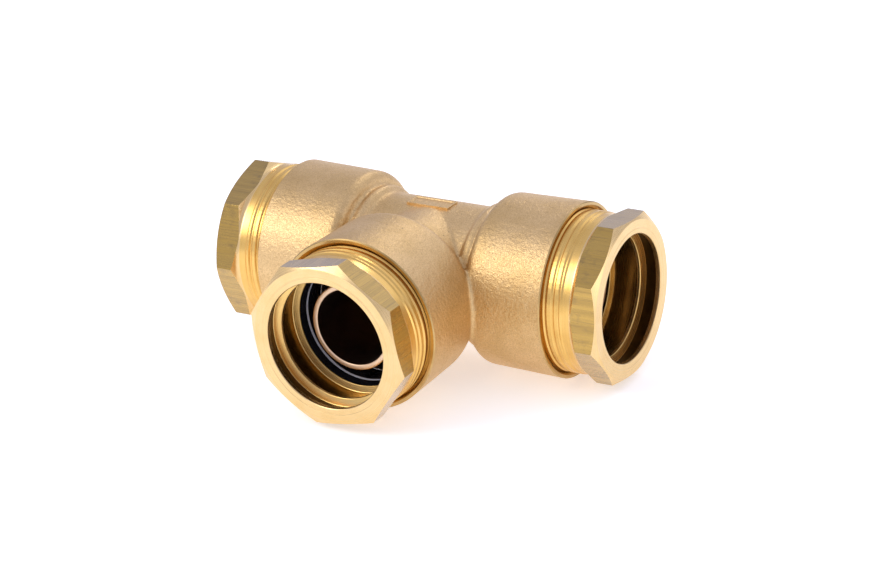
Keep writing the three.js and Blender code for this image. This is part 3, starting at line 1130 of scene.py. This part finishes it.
def grip_ring():
    """A toothed cone, split through on one side and slit from the back on the others."""
    start, end, _ = (value / MM for value in reach("right_grip_ring"))
    outline = [
        (start, TOOTH_ROOT),
        (start, seat_radius(start) - 0.2),
        (start + 0.2, seat_radius(start + 0.2)),
        (end - 0.15, seat_radius(end - 0.15)),
        (end, seat_radius(end) - 0.15),
        (end, TOOTH_ROOT + 0.2),
    ]
    for tooth in TEETH_AT:
        outline += tooth_outline(tooth)
    ring = turned("grip_ring", outline + [(start, TOOTH_ROOT)], "acetal")
    # The first tooth's tip is painted near-white as a highlight.
    wear_where(ring, "painted_highlight_acetal", on_first_tip)
    combine(ring, saw_slot(SPLIT_WIDTH, start - 1, end + 1, 0), "DIFFERENCE")
    for number in range(1, SLITS + 1):
        angle = 360 * number / (SLITS + 1)
        combine(ring, saw_slot(SLIT_WIDTH, start - 1, SLIT_END, angle), "DIFFERENCE")
    smooth(ring, 40)
    return ring


fit(grip_ring(), "_grip_ring", "_grip", "toothed_ring")
print("grip rings with", len(TEETH_AT), "rows of teeth")

# %% [markdown]
# ## Washer, spacer and O-rings
# These sit behind the grip ring and hardly show, but they are there when a nut is taken off. The
# steel washer is stamped: one face has the rolled edge that the punch leaves, the other a sharp
# one. The nylon spacer is turned with chamfers. The O-rings are spun from a circle with the thin
# flash line of their mould on it. A torus primitive would be quicker, but it has no flash line.

# %% Washers, spacers, O-rings
RING_RADIUS = 18.9
RING_BORE = 16.4
PUNCH_ROLL = 0.3
PUNCH_BURR = 0.03
FLASH_HEIGHT = 0.04


def stamped_washer():
    """A flat ring with one rolled and one sharp edge on each side."""
    start, end, _ = (value / MM for value in reach("right_backing_washer"))
    outline = [
        (start, RING_RADIUS - PUNCH_BURR),
        (start + PUNCH_BURR, RING_RADIUS),
        *arc(end - PUNCH_ROLL, RING_RADIUS - PUNCH_ROLL, PUNCH_ROLL, 90, 0, 5),
        *arc(end - PUNCH_ROLL, RING_BORE + PUNCH_ROLL, PUNCH_ROLL, 0, -90, 5),
        (start + PUNCH_BURR, RING_BORE),
        (start, RING_BORE + PUNCH_BURR),
        (start, RING_RADIUS - PUNCH_BURR),
    ]
    return turned("washer", outline, "steel_run")


def spacer_ring():
    """A plain ring with a chamfer at every corner."""
    start, end, _ = (value / MM for value in reach("right_spacer_ring"))
    outline = rolled_ends(start, end, RING_RADIUS, RING_BORE, 0.2, steps=1)
    return turned("spacer", outline, "nylon")


def o_ring(node_suffix):
    """A round cord bent to a ring, with the mould's seam outside and inside."""
    start, end, radius = (value / MM for value in reach("right" + node_suffix))
    section = (end - start) / 2
    middle = (start + end) / 2
    outer = radius - section
    flash = section + FLASH_HEIGHT
    outline = [
        (middle, outer + flash),
        *arc(middle, outer, section, 85, -85, 16),
        (middle, outer - flash),
        *arc(middle, outer, section, -95, -265, 16),
        (middle, outer + flash),
    ]
    return turned("o_ring", outline, "rubber")


washer = stamped_washer()
smooth(washer, 40)
fit(washer, "_backing_washer", "_washer", "stamped_washer")
spacer = spacer_ring()
smooth(spacer, 30)
fit(spacer, "_spacer_ring", "", "chamfered_spacer")
for place_name in ("inner", "outer"):
    seal = o_ring("_" + place_name + "_oring")
    smooth(seal, 60)
    fit(seal, "_" + place_name + "_oring", "", place_name + "_seal")
print("packing in place")

# %% [markdown]
# ## Floor and light
# A plain white floor that goes on far beyond the view, and soft boxes. Polished metal shows what
# stands round it, so the light is arranged for its reflections. At the front left a bright box with
# a wide glow round it draws the highlights down the necks and the bells. A low glow on the right
# lifts the side of the branch. Behind, a small box and a wide glow light the chamfers and the tops,
# and a cooler sky fills the rest. The floor gives off a little light of its own, so it stays white
# close to the part. The standard view transform keeps that white clean.

# %% Floor, sky and soft boxes
FLOOR_SIZE = 6
FLOOR_DROP = 0.2 * MM


def lay_floor():
    """A white floor a hair below the part, which takes no place in the model."""
    bpy.ops.object.select_all(action="DESELECT")
    bpy.ops.mesh.primitive_plane_add(size=FLOOR_SIZE, location=(0, 0, -FLOOR_DROP))
    floor = bpy.context.object
    floor.name = "floor"
    material, _, shader = new_finish("white_floor", (0.9, 0.9, 0.9), 0.9, metallic=0.0)
    shader.inputs["Emission Color"].default_value = (1, 0.99, 0.98, 1)
    shader.inputs["Emission Strength"].default_value = 0.47
    floor.data.materials.append(material)


def soft_box(name, azimuth, elevation, distance, size, power, color):
    """An area light aimed at the tee's centre; azimuth 0 is the front, 90 the right."""
    turn = math.radians(azimuth)
    rise = math.radians(elevation)
    level = math.cos(rise)
    away = Vector((math.sin(turn) * level, -math.cos(turn) * level, math.sin(rise)))
    bpy.ops.object.light_add(type="AREA", location=centre + away * distance)
    lamp = bpy.context.object
    lamp.name = name
    lamp.rotation_euler = away.to_track_quat("Z", "Y").to_euler()
    lamp.data.shape = "RECTANGLE"
    lamp.data.size = size[0]
    lamp.data.size_y = size[1]
    lamp.data.energy = power
    lamp.data.color = color


def light_sky():
    """An even, slightly blue light from all round."""
    world = bpy.data.worlds.new("studio")
    bpy.context.scene.world = world
    world.use_nodes = True
    background = world.node_tree.nodes["Background"]
    background.inputs["Color"].default_value = (0.63, 0.65, 0.83, 1)
    background.inputs["Strength"].default_value = 1.0


lay_floor()
light_sky()
# name: (azimuth, elevation, distance in metres, size in metres, power in watts, colour)
SOFT_BOXES = {
    "front_box": (-38, 36, 0.9, (0.34, 0.30), 1.3, (1.0, 0.99, 0.96)),
    "front_glow": (-38, 38, 0.95, (0.8, 0.55), 1.8, (1.0, 0.98, 0.93)),
    "right_glow": (92, 10, 0.9, (0.7, 0.4), 1.0, (1.0, 0.97, 0.92)),
    "back_box": (-168, 38, 0.9, (0.2, 0.16), 0.5, (1.0, 1.0, 1.0)),
    "back_glow": (165, 34, 1.0, (1.0, 0.5), 0.8, (0.95, 0.97, 1.0)),
}
for box_name, setting in SOFT_BOXES.items():
    soft_box(box_name, *setting)
bpy.context.scene.view_settings.view_transform = "Standard"
print("floor, sky and", len(SOFT_BOXES), "soft boxes")
